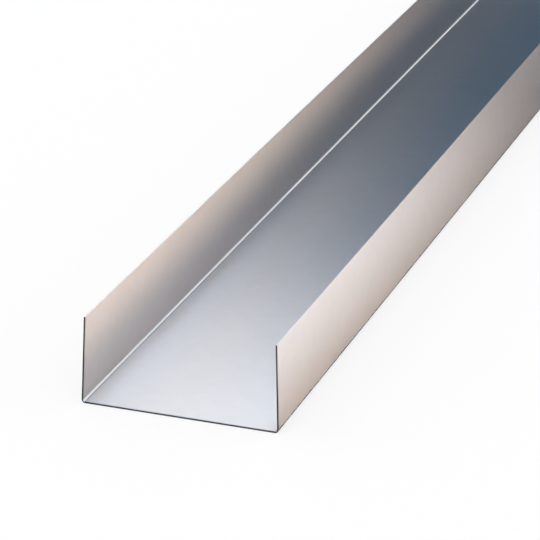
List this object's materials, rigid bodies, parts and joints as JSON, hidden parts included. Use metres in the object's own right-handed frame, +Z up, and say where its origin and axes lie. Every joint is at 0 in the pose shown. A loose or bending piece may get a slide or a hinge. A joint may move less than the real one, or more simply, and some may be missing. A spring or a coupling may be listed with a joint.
{
  "type": "galvanized mounting rail",
  "caption": "Straight U-shaped rail of thin galvanized sheet steel with a plain flat web and two upright flanges leaning slightly inwards, fixed to a floor, wall or ceiling to hold studs.",
  "frame": {"origin": "middle of the web's underside, at half the rail's length and half its width", "axes": "+X along the rail, +Y across the web, +Z up from the web's underside to the flanges' free edges"},
  "size_m": [2.5, 0.1, 0.045],
  "materials": {
    "galvanized_steel": "satin"
  },
  "bodies": {
    "root": {"mounting_rail": "galvanized_steel"}
  },
  "joints": []
}
